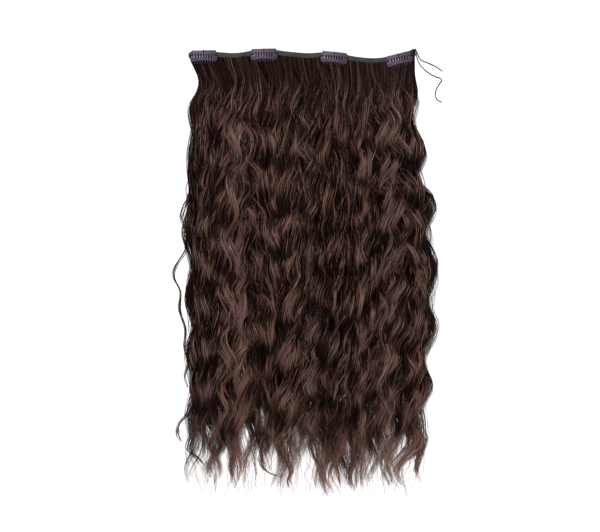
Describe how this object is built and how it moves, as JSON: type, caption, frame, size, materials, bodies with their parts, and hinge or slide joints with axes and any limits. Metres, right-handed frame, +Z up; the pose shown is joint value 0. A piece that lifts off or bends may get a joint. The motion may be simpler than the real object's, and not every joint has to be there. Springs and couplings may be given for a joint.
{
  "type": "clip in hair extension",
  "caption": "Wide clip-in weft of long wavy dark brown hair with snap comb clips sewn along its top edge, lying flat.",
  "frame": {"origin": "middle of the weft's underside, on the surface that the extension lies on", "axes": "+X along the weft to the right as seen with the clips facing up, +Y from the hair's tips towards the weft, +Z up out of the surface, out of the clips' faces"},
  "size_m": [0.2331, 0.4025, 0.0151],
  "materials": {
    "weft_cloth": "matt dark grey machine-sewn track",
    "hair": "glossy wavy dark brown hair",
    "clip_enamel": "glossy mauve-brown enamel on spring steel",
    "thread": "matt black sewing thread"
  },
  "bodies": {
    "extension": {"weft": "weft_cloth", "hair": "hair", "clip_1_frame": "clip_enamel", "clip_2_frame": "clip_enamel", "clip_3_frame": "clip_enamel", "clip_4_frame": "clip_enamel", "thread_end_long": "thread", "thread_end_short": "thread"},
    "comb_1": {"clip_1_comb": "clip_enamel"},
    "comb_2": {"clip_2_comb": "clip_enamel"},
    "comb_3": {"clip_3_comb": "clip_enamel"},
    "comb_4": {"clip_4_comb": "clip_enamel"}
  },
  "joints": [
    {"name": "clip_1_snap", "type": "hinge", "parent": "extension", "child": "comb_1", "pos_m": [-0.08833, 0.00425, 0.0031], "axis": [-0.9999, -0.0135, 0], "range_deg": [0, 35]},
    {"name": "clip_2_snap", "type": "hinge", "parent": "extension", "child": "comb_2", "pos_m": [-0.03427, 0.00569, 0.0031], "axis": [-0.9997, -0.0257, 0], "range_deg": [0, 35]},
    {"name": "clip_3_snap", "type": "hinge", "parent": "extension", "child": "comb_3", "pos_m": [0.02938, 0.00281, 0.0031], "axis": [-0.9948, 0.1015, 0], "range_deg": [0, 35]},
    {"name": "clip_4_snap", "type": "hinge", "parent": "extension", "child": "comb_4", "pos_m": [0.08619, 0.00128, 0.0031], "axis": [-0.9698, -0.2437, 0], "range_deg": [0, 35]}
  ]
}
